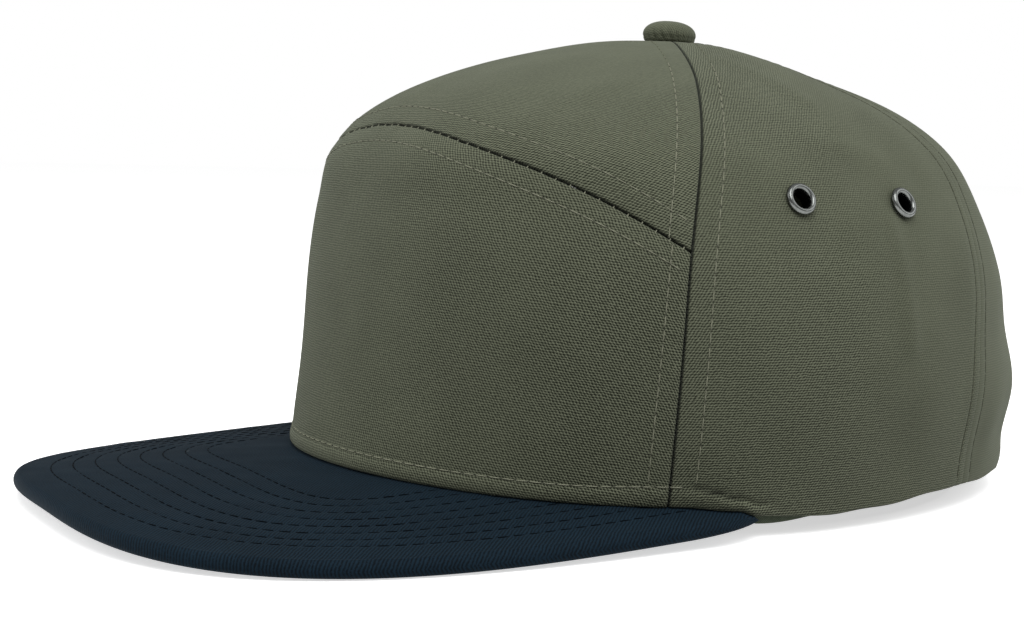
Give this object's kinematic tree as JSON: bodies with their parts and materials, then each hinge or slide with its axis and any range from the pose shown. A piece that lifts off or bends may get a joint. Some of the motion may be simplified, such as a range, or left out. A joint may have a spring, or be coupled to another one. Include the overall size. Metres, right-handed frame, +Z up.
{
  "type": "flat bill cap",
  "caption": "Structured olive cloth cap with an arched front seam, metal eyelets, a covered top button and a stiff flat navy bill, open below for the head.",
  "frame": {"origin": "on the surface the cap rests on, under the middle of its length and width", "axes": "+Z up, the bill points along -Y, the wearer's left is +X"},
  "size_m": [0.176, 0.2718, 0.1246],
  "materials": {
    "olive_twill": "matt cotton twill with a fine diagonal weave",
    "navy_twill": "matt cotton twill stretched over a stiff board",
    "olive_tape": "matt woven tape",
    "nickel": "nickel plate, lightly brushed"
  },
  "bodies": {
    "root": {"front_panel": "olive_twill", "upper_front_panel": "olive_twill", "side_panel_left": "olive_twill", "side_panel_right": "olive_twill", "back_panel_left": "olive_twill", "back_panel_right": "olive_twill", "bill": "navy_twill", "sweatband": "olive_tape", "top_button": "olive_twill", "eyelet_front_left": "nickel", "eyelet_rear_left": "nickel", "eyelet_front_right": "nickel", "eyelet_rear_right": "nickel"}
  },
  "joints": []
}
